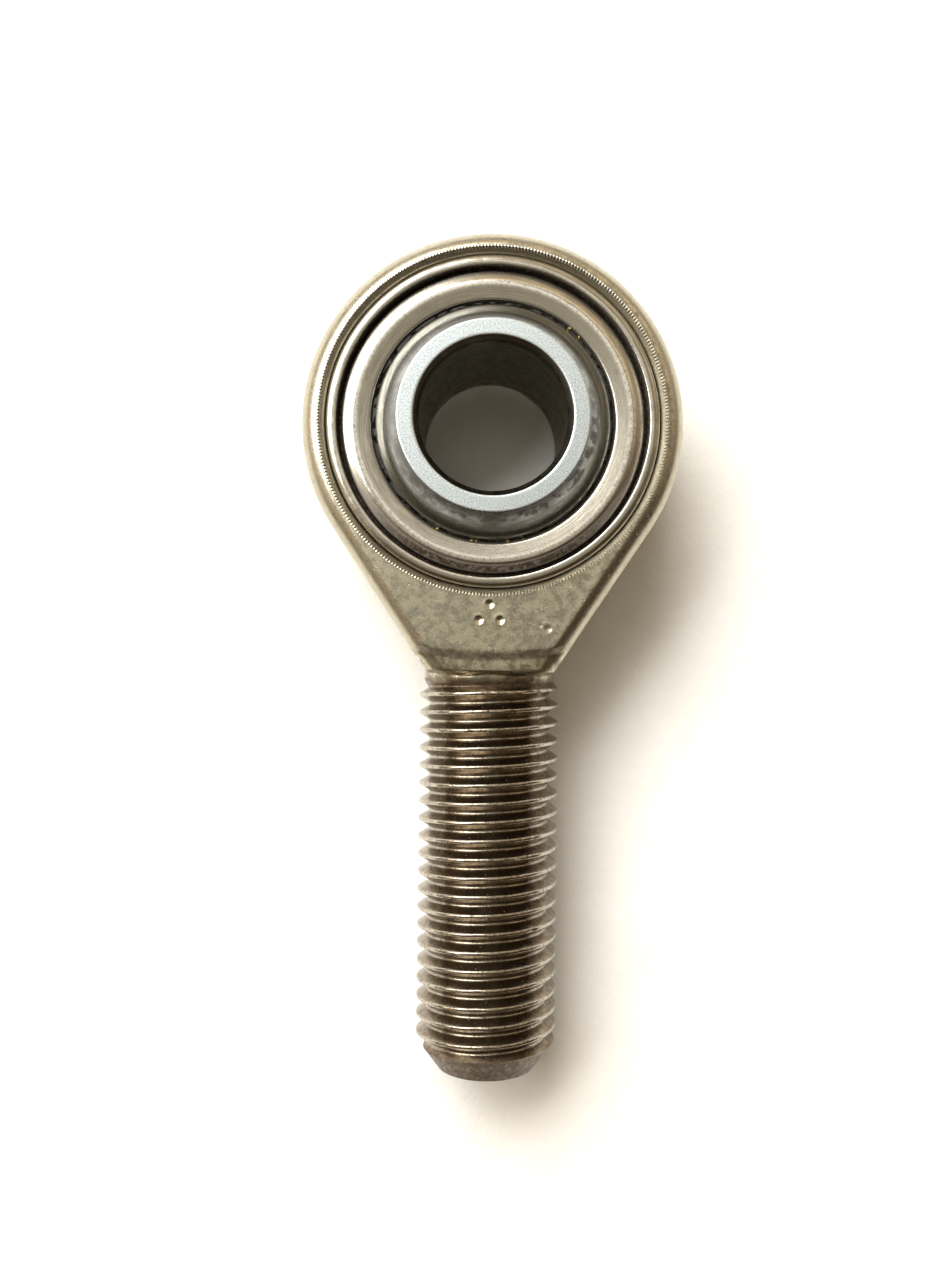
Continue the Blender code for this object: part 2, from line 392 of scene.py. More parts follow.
def ball_material():
    """Hardened ball: polished sphere, flat faces with a speckled grinding lay and a pale bluish white that is a
    painted sky reflection, honed bore.
    """
    m = Tree("ball_chrome_steel")
    grime, face, bore = m.attribute("grime"), m.attribute("face"), m.attribute("bore")
    stretched, radius, angle, parts = m.polar(along=14.0, angular=4.0, axial=14.0)
    lay = m.noise(1.0, 4.0, 0.6, vector=stretched)
    speckle = m.noise(7.5, 5.0, 0.7)
    cloud = m.noise(1.1, 4.0, 0.6)
    sphere = m.mix(m.band(lay, 0.38, 0.64), (0.25, 0.255, 0.252), (0.37, 0.375, 0.37))
    sphere = m.mix(m.band(cloud, 0.52, 0.70, 0.0, 0.35), sphere, (0.25, 0.243, 0.225))
    # painted reflection: the flat faces' pale bluish white stands in for the sky they reflect
    ground_and_sky_reflection = m.mix(m.band(speckle, 0.38, 0.60), (0.50, 0.595, 0.67), (0.87, 0.95, 1.00))
    honed = m.mix(m.band(lay, 0.36, 0.66), (0.12, 0.110, 0.085), (0.22, 0.205, 0.165))
    base = m.mix(face, sphere, ground_and_sky_reflection)
    base = m.mix(bore, base, honed)
    # darkening from the mesh attribute, which holds a painted dark reflection on one side of the sphere and darker
    # bands under the race and in the bore
    patchy_darkening_and_painted_shade = m.math("MULTIPLY", grime, m.band(m.noise(1.15, 3.0, 0.55), 0.40, 0.60))
    base = m.mix(patchy_darkening_and_painted_shade, base, (0.030, 0.026, 0.024))
    rough = m.band(lay, 0.34, 0.68, 0.24, 0.17)
    rough = m.math("ADD", rough, m.math("MULTIPLY", face, m.band(speckle, 0.35, 0.65, 0.18, 0.11)))
    rough = m.math("ADD", rough, m.math("MULTIPLY", bore, 0.10))
    rough = m.math("ADD", rough, m.math("MULTIPLY", patchy_darkening_and_painted_shade, 0.35), clamp=True)
    m.set(Base_Color=base, Roughness=rough, Metallic=m.band(patchy_darkening_and_painted_shade, 0.1, 0.9, 1.0, 0.4))
    m.bumps((lay, 0.25, 0.004), (m.math("MULTIPLY", speckle, face), 0.55, 0.012))
    return m.material


def liner_material():
    """Woven bronze-brown sliding fabric, darker in random fluffy patches."""
    m = Tree("liner_weave")
    stretched, radius, angle, parts = m.polar()
    warp = m.math("SINE", m.math("MULTIPLY", angle, 210.0))
    weft = m.math("SINE", m.math("MULTIPLY", parts[2], 19.0))
    weave = m.math("MULTIPLY", warp, weft)
    fluff = m.noise(8.0, 4.0, 0.65)
    base = m.mix(m.band(weave, -0.5, 0.6), (0.010, 0.008, 0.006), (0.045, 0.031, 0.014))
    base = m.mix(m.band(fluff, 0.46, 0.66, 0.0, 0.8), base, (0.014, 0.012, 0.009))
    m.set(Base_Color=base, Roughness=m.band(fluff, 0.3, 0.7, 0.72, 0.92), Metallic=0.0)
    m.bumps((weave, 0.5, 0.03), (fluff, 0.5, 0.04))
    return m.material


def fibre_material():
    """Frayed ends of the liner's bronze-coloured threads."""
    m = Tree("liner_fibre")
    tone = m.noise(14.0, 3.0, 0.6)
    base = m.mix(m.band(tone, 0.40, 0.62), (0.46, 0.31, 0.050), (0.90, 0.70, 0.18))
    m.set(Base_Color=base, Roughness=m.band(tone, 0.3, 0.7, 0.38, 0.55), Metallic=0.35)
    m.bumps((tone, 0.4, 0.02))
    return m.material


def paper_material():
    m = Tree("paper")
    wide, tooth = m.noise(0.10, 4.0, 0.6), m.noise(2.4, 5.0, 0.65)
    base = m.mix(m.band(wide, 0.3, 0.7), (0.86, 0.85, 0.825), (0.90, 0.893, 0.875))
    m.set(Base_Color=base, Roughness=m.band(tooth, 0.3, 0.7, 0.82, 0.95))
    m.bumps((wide, 0.30, 0.9), (tooth, 0.5, 0.09))
    return m.material


# ---------------------------------------------------------------- body
def side_layers():
    """(height, inset) of the head's edge from its lower to its upper face."""
    straight = [(4.35 * i / 9, 0.0) for i in range(10)]
    stop = math.radians(68)
    curve = []
    for i in range(1, 14):
        t = stop * i / 13
        curve.append((4.35 + 1.65 * math.sin(t) / math.sin(stop), 1.30 * (1 - math.cos(t)) / (1 - math.cos(stop))))
    upper = [(z, d + DRAFT * z) for z, d in straight + curve]
    return [(-z, d) for z, d in upper[:0:-1]] + upper


def taper_half_width(y, inset=0.0):
    return (HEAD_R - inset - y * math.sin(TAPER)) / math.cos(TAPER)


TAPER_STEPS, ARC_STEPS = 64, 172


def outline(inset):
    """The head's outline from the right shoulder over the top to the left shoulder, as (x, -y distance)."""
    tangent = (HEAD_R - inset) * math.sin(TAPER)
    right = []
    for k in range(TAPER_STEPS):
        y = SHOULDER_Y + (tangent - SHOULDER_Y) * k / TAPER_STEPS
        right.append((taper_half_width(y, inset), -y))
    a0 = math.pi / 2 - TAPER
    for k in range(ARC_STEPS + 1):
        a = a0 + (math.pi - a0) * k / ARC_STEPS
        right.append(((HEAD_R - inset) * math.sin(a), -(HEAD_R - inset) * math.cos(a)))
    return right + [(-x, y) for x, y in right[-2::-1]]


def bow(x):
    return np.minimum((np.asarray(x, float) / 5.2) ** 2, 1.2)


def roll(x, y):
    """How far the flat faces and their edges sink towards the collar."""
    q = bow(x)
    t = np.clip((y - (18.80 - 0.45 * q)) / 0.70, 0, 1)
    return 0.27 * t * t * (3 - 2 * t)


DOTS = ((-0.95, -16.25), (0.75, -16.25), (-0.10, -14.95))   # three centre-punch marks
DENT = (4.65, -16.9)


def relief(x, y, s):
    """Height of the flat face over its plane: waves, soft edges, punch marks and a dent."""
    p = np.stack([x, y, np.full_like(x, 3.0 * s)], -1)
    h = -0.013 + 0.010 * fbm(p, 0.45, 3) + 0.003 * fbm(p, 1.7, 9)
    h = h - roll(x, -y)
    if s > 0:
        for cx, cy in DOTS:
            d = np.hypot(x - cx, y - cy)
            h = h - 0.17 * np.clip(1 - d / 0.36, 0, 1) ** 0.9
            h = h + 0.022 * np.exp(-(((d - 0.44) / 0.10) ** 2))
        d = np.hypot((x - DENT[0]) * 0.9 + (y - DENT[1]) * 0.5, (y - DENT[1]) * 0.9 - (x - DENT[0]) * 0.4)
        h = h - 0.07 * np.clip(1 - d / 0.34, 0, 1)
        h = h + 0.03 * np.exp(-(((d - 0.42) / 0.12) ** 2))
        d = np.hypot(x - 4.05, (y + 16.65) * 1.4)
        h = h - 0.035 * np.clip(1 - d / 0.22, 0, 1)
    return h


def flat_face(outer, inner, s):
    """Triangles between the outline and the eye's chamfer, dense where there are marks."""
    pts = [tuple(p) for p in outer] + [tuple(p) for p in inner]
    n, m = len(outer), len(inner)
    edges = [(i, (i + 1) % n) for i in range(n)] + [(n + i, n + (i + 1) % m) for i in range(m)]
    xs, ys = np.meshgrid(np.arange(-13.5, 13.6, 0.17), np.arange(-19.0, -6.0, 0.17))
    jitter = np.stack([xs.ravel(), ys.ravel(), np.zeros(xs.size)], -1)
    gx = xs.ravel() + 0.035 * noise(jitter, 7.0, 1)
    gy = ys.ravel() + 0.035 * noise(jitter, 7.0, 2)
    if s > 0:
        for cx, cy, rad, step in [(*d, 0.62, 0.055) for d in DOTS] + [(DENT[0], DENT[1], 0.60, 0.07), (4.05, -16.65, 0.34, 0.07)]:
            far = np.hypot(gx - cx, gy - cy) > rad + 0.04
            gx, gy = gx[far], gy[far]
            u, v = np.meshgrid(np.arange(-rad, rad, step), np.arange(-rad, rad, step))
            near = np.hypot(u, v) < rad
            gx, gy = np.append(gx, u[near] + cx), np.append(gy, v[near] + cy)
    radius = np.hypot(gx, gy)
    inset = HEAD_R - outer_gap - 0.10
    half = (inset + gy * math.sin(TAPER)) / math.cos(TAPER)
    ok = (radius > EYE_CHAMFER_R + 0.10) & (gy > -SHOULDER_Y + 0.10)
    below = gy < -inset * math.sin(TAPER)
    ok &= np.where(below, np.abs(gx) < half, radius < inset)
    pts += list(zip(gx[ok], gy[ok]))
    v, _, f, *_ = delaunay_2d_cdt([(float(a), float(b)) for a, b in pts], edges, [], 0, 1e-7)
    co = np.array([(p[0], p[1]) for p in v])
    tris = []
    for face in f:
        c = co[list(face)].mean(0)
        r = math.hypot(c[0], c[1])
        if r < EYE_CHAMFER_R * math.cos(math.pi / m) - 1e-4:
            continue
        (ax, ay), (bx, by), (cx, cy) = co[list(face)]
        if abs((bx - ax) * (cy - ay) - (by - ay) * (cx - ax)) < 2e-5:
            continue
        tris.append(tuple(face))
    return co, tris


outer_gap = 0.0


def body_piece(mat):
    global outer_gap
    layers = side_layers()
    outer_gap = layers[-1][1]
    loops = [np.array(outline(d)) for _, d in layers]
    cols, rows = len(loops[0]), len(layers)
    verts, faces = [], []

    def add(points):
        start = len(verts)
        verts.extend(map(tuple, points))
        return start

    # side wall, with the low waves of a forging
    grid = np.array([[(x, y, z) for x, y in loop] for loop, (z, _) in zip(loops, layers)])
    flat_points = grid.reshape(-1, 3)
    out = flat_points * (1, 1, 0)
    out /= np.linalg.norm(out, axis=1)[:, None]
    inside = np.repeat(smooth(0.0, 0.9, [HEAD_HALF - abs(z) for z, _ in layers]), cols)
    ends = np.tile(smooth(0, 10, np.minimum(np.arange(cols), cols - 1 - np.arange(cols))), rows)
    wave = -0.012 + 0.010 * fbm(flat_points, 0.5, 5) + 0.004 * fbm(flat_points, 1.9, 6)
    flat_points = flat_points + out * (wave * inside * ends)[:, None]
    sink = roll(flat_points[:, 0], -flat_points[:, 1])
    top = smooth(4.6, 6.0, np.abs(flat_points[:, 2]))
    flat_points[:, 2] -= np.sign(flat_points[:, 2]) * sink * top
    w0 = add(flat_points)
    for a in range(rows - 1):
        for b in range(cols - 1):
            i = w0 + a * cols + b
            faces.append((i, i + 1, i + cols + 1, i + cols))

    # flat faces with the eye's chamfers
    eye_n = 512
    ang = TAU * np.arange(eye_n) / eye_n
    mouth = {}
    flat_count = 35
    shoulder = {}
    for s in (-1, 1):
        loop = loops[-1]
        x0, x1 = loop[-1][0], loop[0][0]
        edge_x = x0 + (x1 - x0) * np.arange(1, flat_count + 1) / (flat_count + 1)
        edge = np.stack([edge_x, np.full(flat_count, -SHOULDER_Y)], -1)
        outer = np.concatenate([loop, edge])
        inner = np.stack([EYE_CHAMFER_R * np.sin(ang), -EYE_CHAMFER_R * np.cos(ang)], -1)
        co, tris = flat_face(outer, inner, s)
        h = relief(co[:, 0], co[:, 1], s)
        # the border keeps the wall's height, so that both meet
        dist = np.abs(np.hypot(co[:, 0], co[:, 1]) - EYE_CHAMFER_R)
        wallz = -roll(co[:, 0], -co[:, 1])
        border = np.zeros(len(co), bool)
        border[: len(outer)] = True
        flat_r = HEAD_R - outer_gap
        down = -co[:, 1]
        to_taper = flat_r - (np.abs(co[:, 0]) * math.cos(TAPER) + down * math.sin(TAPER))
        to_arc = flat_r - np.hypot(co[:, 0], co[:, 1])
        to_edge = np.where(down > flat_r * math.sin(TAPER), to_taper, np.where(np.abs(co[:, 0]) * math.sin(TAPER) < down * math.cos(TAPER), to_taper, to_arc))
        to_end = SHOULDER_Y - down
        free = smooth(0.0, 0.30, dist) * smooth(0.0, 0.9, to_edge) * smooth(0.0, 0.35, to_end)
        h = np.where(border, wallz, wallz + (h - wallz) * free)
        f0 = add(np.stack([co[:, 0], co[:, 1], s * (HEAD_HALF + np.minimum(h, -0.0)) ], -1))
        faces.extend(tuple(f0 + i for i in t) for t in tris)
        shoulder[s] = [f0 + cols + i for i in range(flat_count)]
        rings = [f0 + len(outer) + np.arange(eye_n)]
        steps = 7
        for k in range(1, steps + 1):
            t = k / steps
            r = EYE_CHAMFER_R + (EYE_R - EYE_CHAMFER_R) * t
            z = HEAD_HALF + (EYE_CHAMFER_Z - HEAD_HALF) * t
            pts = np.stack([r * np.sin(ang), -r * np.cos(ang), np.full(eye_n, s * z)], -1)
            rings.append(add(pts) + np.arange(eye_n))
        for ra, rb in zip(rings, rings[1:]):
            for i in range(eye_n):
                j = (i + 1) % eye_n
                faces.append((int(ra[i]), int(ra[j]), int(rb[j]), int(rb[i])))
        mouth[s] = rings[-1]
    for i in range(eye_n):
        j = (i + 1) % eye_n
        faces.append((int(mouth[1][i]), int(mouth[1][j]), int(mouth[-1][j]), int(mouth[-1][i])))

    # neck: a ring of points clockwise from the left end of the upper flat's edge
    ring = [w0 + (rows - 1) * cols + cols - 1] + shoulder[1]
    ring += [w0 + a * cols for a in range(rows - 1, -1, -1)]
    ring += shoulder[-1][::-1]
    ring += [w0 + a * cols + cols - 1 for a in range(0, rows - 1)]
    n = len(ring)
    base = np.array([verts[i] for i in ring])
    # the ring's start is turned so that point 0 sits at the top of the circle
    middle = 1 + flat_count // 2
    ring = ring[middle:] + ring[:middle]
    base = np.concatenate([base[middle:], base[:middle]])
    a = TAU * np.arange(n) / n
    circle = np.stack([BLANK_R * np.sin(a), np.zeros(n), BLANK_R * np.cos(a)], -1)
    if base[5][0] < base[0][0]:
        circle[:, 0] *= -1
    previous = ring
    ys = [19.02, 19.14, 19.28, 19.42, 19.58, 19.80, 20.06, 20.24, 20.34, 20.42, 20.49, 20.55, 20.61, 20.68, 20.75, 20.82, NECK_END_Y]
    tops = [5.73, 5.73, 5.73, 5.73, 5.735, 5.745, 5.745, 5.738, 5.725, 5.705, 5.685, 5.665, 5.645, 5.62, 5.585, 5.55, BLANK_R]
    near_top = np.sign(base[:, 2]) * smooth(4.6, 5.7, np.abs(base[:, 2]))
    for y, top_z in zip(ys, tops):
        b = float(0.10 * smooth(18.95, 20.30, y) + 0.90 * smooth(20.30, 20.74, y))
        widest = taper_half_width(SHOULDER_Y)
        hx = base[:, 0] * max(taper_half_width(y), BLANK_R) / widest
        hz = base[:, 2] * top_z / 5.73 - near_top * (roll(base[:, 0], y) - roll(base[:, 0], SHOULDER_Y))
        p = np.stack([hx + (circle[:, 0] - hx) * b, np.full(n, -y), hz + (circle[:, 2] - hz) * b], -1)
        if y < NECK_END_Y:
            wob = 0.11 * noise(base * (1, 0, 1), 0.35, 41) * float(smooth(18.9, 19.6, y)) * float(smooth(20.9, 20.60, y))
            p[:, 1] += wob
            p *= 1 + 0.0022 * noise(p, 1.6, 44)[:, None] * (1, 0, 1)
        start = add(p)
        now = [start + i for i in range(n)]
        for i in range(n):
            j = (i + 1) % n
            faces.append((previous[i], previous[j], now[j], now[i]))
        previous = now

    # thread: rows of helical points, held back to the neck's end and the shank's end
    side = [0.0, 0.07, 0.12, 0.18, 0.563, 0.63, 0.69, 0.75]
    offsets = sorted([-v for v in side[1:-1]] + side)
    per = len(offsets)
    turns = range(-3, 26)
    t_all = np.array([(turn * PITCH + o) for turn in turns for o in offsets])
    s_all = np.abs(np.tile(offsets, len(turns)))
    root_r = 0.216
    s_t = PITCH / 2 - root_r * math.sin(math.radians(60))
    r_t = ROOT_R + root_r * (1 - math.cos(math.radians(60)))
    line = r_t + math.sqrt(3) * (s_t - s_all)
    line = smin(np.full_like(line, THREAD_R), line, 0.10)
    bowl = ROOT_R + root_r - np.sqrt(np.maximum(root_r**2 - (PITCH / 2 - s_all) ** 2, 0))
    full = np.where(s_all > s_t, bowl, line)
    columns = []
    for q in range(n + 1):
        ang_q = TAU * q / n
        y = FIRST_CREST_Y + t_all - PITCH * q / n
        depth = smooth(RUN_IN[0], RUN_IN[1], y)
        r = BLANK_R + depth * (full - BLANK_R)
        held = np.clip(y, NECK_END_Y, END_Y)
        sx, cz = math.sin(ang_q), math.cos(ang_q)
        p = np.stack([r * sx, -held, r * cz], -1)
        crest = smooth(0.45, 0.0, s_all) * depth
        chip = np.clip(noise(p, 1.3, 61) - 0.42, 0, 1) * 0.14 + 0.012 * noise(p, 3.0, 62)
        rough_start = 0.10 * np.clip(noise(p, 1.8, 64), 0, 1) * smooth(24.0, 22.0, y)
        r = r - crest * np.clip(chip + rough_start, -0.008, 0.12)
        r = np.minimum(r, END_R + END_SLOPE * (END_Y - held))
        r = np.where(y <= NECK_END_Y, BLANK_R, r)
        r = np.where(y >= END_Y, END_R, r)
        columns.append(np.stack([r * sx, -held, r * cz], -1))
    if circle[5][0] < 0:
        columns = columns[::-1]
    # the last column repeats the first one turn on, so the weld closes the seam
    columns[-1 if circle[5][0] >= 0 else 0][:, 0] = 0.0
    flat_cols = [add(c) for c in columns]
    k_count = len(t_all)
    for c0, c1 in zip(flat_cols, flat_cols[1:]):
        for k in range(k_count - 1):
            faces.append((c0 + k, c1 + k, c1 + k + 1, c0 + k + 1))
    # end face, very slightly dished, with a rounded edge
    prev_r = END_R
    rim = [(END_R * math.sin(TAU * q / n), -END_Y, END_R * math.cos(TAU * q / n)) for q in range(n)]
    last = add(rim) + np.arange(n)
    for r_new, dy in ((3.9, 0.0), (3.2, 0.0), (2.4, 0.02), (1.6, 0.03), (0.8, 0.04)):
        now = add([(r_new * math.sin(TAU * q / n), -END_Y + dy, r_new * math.cos(TAU * q / n)) for q in range(n)]) + np.arange(n)
        for i in range(n):
            j = (i + 1) % n
            faces.append((int(last[i]), int(last[j]), int(now[j]), int(now[i])))
        last = now
    centre = add([(0.0, -END_Y + 0.04, 0.0)])
    for i in range(n):
        faces.append((int(last[i]), int(last[(i + 1) % n]), centre))

    v, f = weld(verts, faces)
    # where the material is worn bright or rolled, where it is darker, partly as painted shade, and where a painted
    # highlight runs along the thread's roots
    r_xy = np.hypot(v[:, 0], v[:, 1])
    r_xz = np.hypot(v[:, 0], v[:, 2])
    y = -v[:, 1]
    az = np.abs(v[:, 2])
    on_shank = smooth(20.6, 21.3, y)
    crest = smooth(THREAD_R - 0.16, THREAD_R - 0.03, r_xz) * on_shank
    # painted highlight: a bright line along the thread's roots, carried in the wear attribute
    painted_root_sheen = smooth(ROOT_R + 0.14, ROOT_R + 0.02, r_xz) * on_shank * smooth(53.3, 52.6, y)
    edge = np.exp(-(((az - 5.86) / 0.16) ** 2)) * (r_xy > 14.3) * (y < 18.6)
    lip = np.exp(-(((r_xy - 14.17) / 0.10) ** 2)) * (az > 5.8)
    wear = np.clip(0.48 * crest + 0.45 * edge + 0.8 * lip + 0.30 * painted_root_sheen, 0, 1)
    # painted shadow: darkens the inner part of the eye's chamfer, where the lip shades it
    low_chamfer = smooth(13.75, 13.25, r_xy) * (y < 18) * (r_xy < 13.9)
    start = smooth(20.95, 21.15, y) * smooth(21.9, 21.4, y)
    late = y + 0.45 * bow(v[:, 0])
    corner = smooth(18.76, 19.05, late) * smooth(19.55, 19.30, late) * smooth(5.2, 5.6, az)
    # painted dark reflection: darkens the shank's end cone
    cone = smooth(51.6, 52.3, y) * smooth(0.10, 0.02, np.abs(r_xz - (END_R + END_SLOPE * (END_Y - y))))
    # painted shade in the chamfer and on the end cone, plus darker patches at the thread's run-in, at the collar's
    # corner and over the shank away from the crests
    grime = np.clip(0.80 * cone + 0.9 * low_chamfer + 0.42 * start + 0.66 * corner + 0.12 * on_shank * (1 - crest), 0, 1)
    neck_side = smooth(4.9, 3.9, az) * smooth(18.6, 19.2, y) * smooth(20.6, 20.0, y)
    side_wall = smooth(5.97, 5.70, az) * smooth(19.2, 18.6, y) + neck_side
    return make_piece(
        "rod_end_body_fine", v, f, mat, "housing", "body_steel", ["rod_end_body"],
        wear=wear, grime=grime, thread=smooth(20.4, 21.4, y), side=side_wall,
    )


# ---------------------------------------------------------------- race
def race_piece(mat):
    face = [
        (10.17, 5.30), (10.01, 5.34), (9.98, 5.385), (10.01, 5.43), (10.10, 5.485), (10.18, 5.505), (11.06, 5.67),
        (11.14, 5.69), (11.30, 5.70), (11.46, 5.69), (11.58, 5.655), (11.68, 5.61), (12.31, 5.34), (12.38, 5.28),
        (12.42, 5.16), (12.45, 4.62), (12.48, 4.42),
        (12.53, 4.35), (12.60, 4.34), (12.66, 4.42), (12.70, 4.75), (12.77, 5.60), (12.79, 5.82),
        (12.82, 5.885), (12.88, 5.917), (13.02, 5.925), (13.18, 5.912), (13.32, 5.872), (13.45, 5.805), (13.55, 5.722),
        (13.605, 5.645), (13.61, 5.58), (13.52, 5.46), (13.34, 5.26), (13.16, 5.07), (13.06, 4.95), (13.00, 4.80),
    ]
    upper = dense(face, 0.16)
    lower = [(r, -z) for r, z in upper[::-1]]
    inner = meridian(RACE_IN_R, -5.30, 5.30, 22)[1:-1]
    profile = upper + lower + inner

    def wobble(ang, r, z):
        flat = np.stack([np.cos(ang), np.sin(ang), np.sign(z) * 0.7], -1).reshape(-1, 3)
        n1 = noise(flat, 7.0, 71).reshape(r.shape)
        n2 = noise(flat, 26.0, 72).reshape(r.shape)
        lip = smooth(12.6, 13.0, r) * smooth(4.9, 5.5, np.abs(z))
        ridge = smooth(10.9, 11.2, r) * smooth(11.9, 11.6, r) * smooth(5.3, 5.55, np.abs(z))
        rr = r + lip * (0.014 * n1 + 0.008 * n2) * smooth(13.6, 13.3, r)
        zz = z + np.sign(z) * (lip * (-0.022 + 0.016 * n1 + 0.010 * n2) + ridge * (-0.012 + 0.009 * n2))
        return rr, zz

    v, f, _ = lathe(profile, 512, wobble)
    r, az = np.hypot(v[:, 0], v[:, 1]), np.abs(v[:, 2])
    out = az > 4.2
    ridge = smooth(11.0, 11.14, r) * smooth(11.72, 11.56, r) * (az > 5.5)
    lip = smooth(12.78, 12.82, r) * smooth(13.12, 12.96, r) * (az > 5.75)
    lip = lip + 0.40 * np.exp(-(((r - 13.55) / 0.06) ** 2)) * (az > 5.6)
    inner_edge = np.exp(-(((r - 10.06) / 0.06) ** 2)) * (az > 5.4)
    # painted shade: the slope inside the lip gets darker towards -Y, the shank's side
    slope = 1.0 * smooth(11.66, 11.85, r) * smooth(12.40, 12.30, r) * (0.18 + 0.82 * smooth(0.25, 0.9, v[:, 1] / -r))
    wear = np.clip(ridge + 0.55 * lip + 0.7 * inner_edge, 0, 1) * out
    # painted shade in the groove inside the lip, on the outer wall under the lip and where the inner edge goes down
    # beside the ball
    groove = smooth(12.38, 12.43, r) * smooth(12.80, 12.75, r) * out
    outside = smooth(5.66, 5.57, az) * (r > 12.95)
    grime = np.clip(groove + slope * out + 0.85 * outside + (r < 10.0) * 0.9 + (az < 5.36) * (r < 10.6) * 0.9, 0, 1)
    return make_piece("outer_race_fine", v, f, mat, "housing", "race_steel", ["outer_race"], sharp=38, wear=wear, grime=grime)


# ---------------------------------------------------------------- liner
def liner_piece(mat):
    profile = meridian(LINER_OUT_R, -LINER_Z, LINER_Z, 30) + meridian(LINER_IN_R, LINER_Z, -LINER_Z, 30)

    def wobble(ang, r, z):
        flat = np.stack([np.cos(ang), np.sin(ang), np.sign(z)], -1).reshape(-1, 3)
        frayed = noise(flat, 24.0, 81).reshape(r.shape) * smooth(4.9, 5.2, np.abs(z))
        return r, z - np.sign(z) * 0.05 * (1 + frayed) * smooth(4.9, 5.2, np.abs(z))

    v, f, _ = lathe(profile, 320, wobble)
    return make_piece("liner_fine", v, f, mat, "swivel_lining", "liner_fabric", ["liner"])


def fibre_piece(mat):
    """Short frayed ends that stand out of the gap between ball and race."""
    verts, faces = [], []
    ends = [
        (51.3, 9.88, 0.085, 0.26), (44.6, 9.86, 0.075, 0.22), (243.6, 9.90, 0.085, 0.24),
        (260.2, 9.92, 0.070, 0.20), (263.0, 9.90, 0.060, 0.22), (277.5, 9.90, 0.070, 0.22), (285.0, 9.93, 0.050, 0.16),
    ]
    sides = 10
    for index, (deg, radius, thick, length) in enumerate(ends):
        a = math.radians(deg)
        out = np.array([math.cos(a), math.sin(a), 0.0])
        round_ = np.array([-math.sin(a), math.cos(a), 0.0])
        start = out * radius + np.array([0, 0, 5.08])
        lean = round_ * (0.35 if index % 2 else -0.28)
        rings = []
        for k in range(6):
            t = k / 5
            centre = start + np.array([0, 0, 1.0]) * length * 1.75 * t + out * (-0.02 * t) + lean * length * t * t
            size = thick * (1.0 - 0.35 * t * t) * (1 + 0.12 * math.sin(5 * t + index))
            ring = []
            for j in range(sides):
                b = TAU * j / sides
                ring.append(tuple(centre + size * (out * math.cos(b) * 0.75 + round_ * math.sin(b) * 1.5)))
            rings.append(len(verts))
            verts += ring
        for r0, r1 in zip(rings, rings[1:]):
            for j in range(sides):
                m = (j + 1) % sides
                faces.append((r0 + j, r0 + m, r1 + m, r1 + j))
        faces.append(tuple(rings[0] + j for j in range(sides))[::-1])
        faces.append(tuple(rings[-1] + j for j in range(sides)))
    return make_piece("liner_fibre_ends", verts, faces, mat, "swivel_lining", "liner_fabric", sharp=50)


# ---------------------------------------------------------------- ball
def ball_piece(mat):
    edge_r = math.sqrt(BALL_R**2 - BALL_W**2)
    upper = meridian(BALL_R, 0.0, 7.90, 46)
    upper += [(edge_r + 0.050, 7.955), (edge_r + 0.005, 7.985), (edge_r - 0.06, BALL_W)]
    upper += dense([(edge_r - 0.12, BALL_W), (BORE_R + BORE_C + 0.06, BALL_W)], 0.16)
    upper += [(BORE_R + BORE_C + 0.015, 7.985), (BORE_R + BORE_C - 0.03, 7.955)]
    upper += dense([(BORE_R + BORE_C - 0.08, 7.90), (BORE_R + 0.04, 7.55), (BORE_R, 7.48), (BORE_R, 0.0)], 0.9)
    lower = [(r, -z) for r, z in upper[::-1]][1:-1]
    v, f, _ = lathe(upper + lower, 360)
    r, az = np.hypot(v[:, 0], v[:, 1]), np.abs(v[:, 2])
    face = smooth(7.93, 7.99, az)
    bore = smooth(6.30, 6.12, r)
    # darker where the sphere goes under the race
    band = smooth(9.35, 9.80, r) * smooth(4.6, 5.2, az)
    # painted dark reflection: the sphere just below the flat faces is darkened on the side towards -Y and +X
    under = smooth(7.0, 7.4, az) * smooth(7.96, 7.80, az) * (r > 7.5)
    side = smooth(-0.2, 0.7, (-v[:, 1] * 0.9 + v[:, 0] * 0.45) / np.maximum(r, 1e-6))
    # darker under the race and in the bore, with the painted dark reflection on one side below the faces
    grime = np.clip(0.75 * band + 0.66 * under * side + 0.25 * bore, 0, 1)
    return make_piece("ball_fine", v, f, mat, "inner_ball", "ball_steel", ["ball"], sharp=38, grime=grime, face=face, bore=bore)


body_piece(body_material())
race_piece(race_material())
liner_piece(liner_material())
fibre_piece(fibre_material())
ball_piece(ball_material())


# ---------------------------------------------------------------- floor
def floor():
    """A sheet of paper that touches the ball's lower edge and the shank's end."""
    (y0, z0), (y1, z1) = (-7.7, -8.02), (-53.0, -5.96)
    slope = (z1 - z0) / (y1 - y0)
    n, half = 2, 3000.0
    verts, faces = [], []
    for i in range(n + 1):
        for j in range(n + 1):
            x, y = -half + 2 * half * i / n, -half + 2 * half * j / n
            verts.append((x * MM, y * MM, (z0 + slope * (y - y0)) * MM))
    for i in range(n):
        for j in range(n):
            a = i * (n + 1) + j
            faces.append((a, a + n + 1, a + n + 2, a + 1))
    mesh = bpy.data.meshes.new("paper_floor")
    mesh.from_pydata(verts, [], faces)
    mesh.materials.append(paper_material())
    ob = bpy.data.objects.new("paper_floor", mesh)
    bpy.context.scene.collection.objects.link(ob)


floor()


# ---------------------------------------------------------------- light
def direction(azimuth, elevation):
    a, e = math.radians(azimuth), math.radians(elevation)
    return np.array([math.cos(a) * math.cos(e), math.sin(a) * math.cos(e), math.sin(e)])


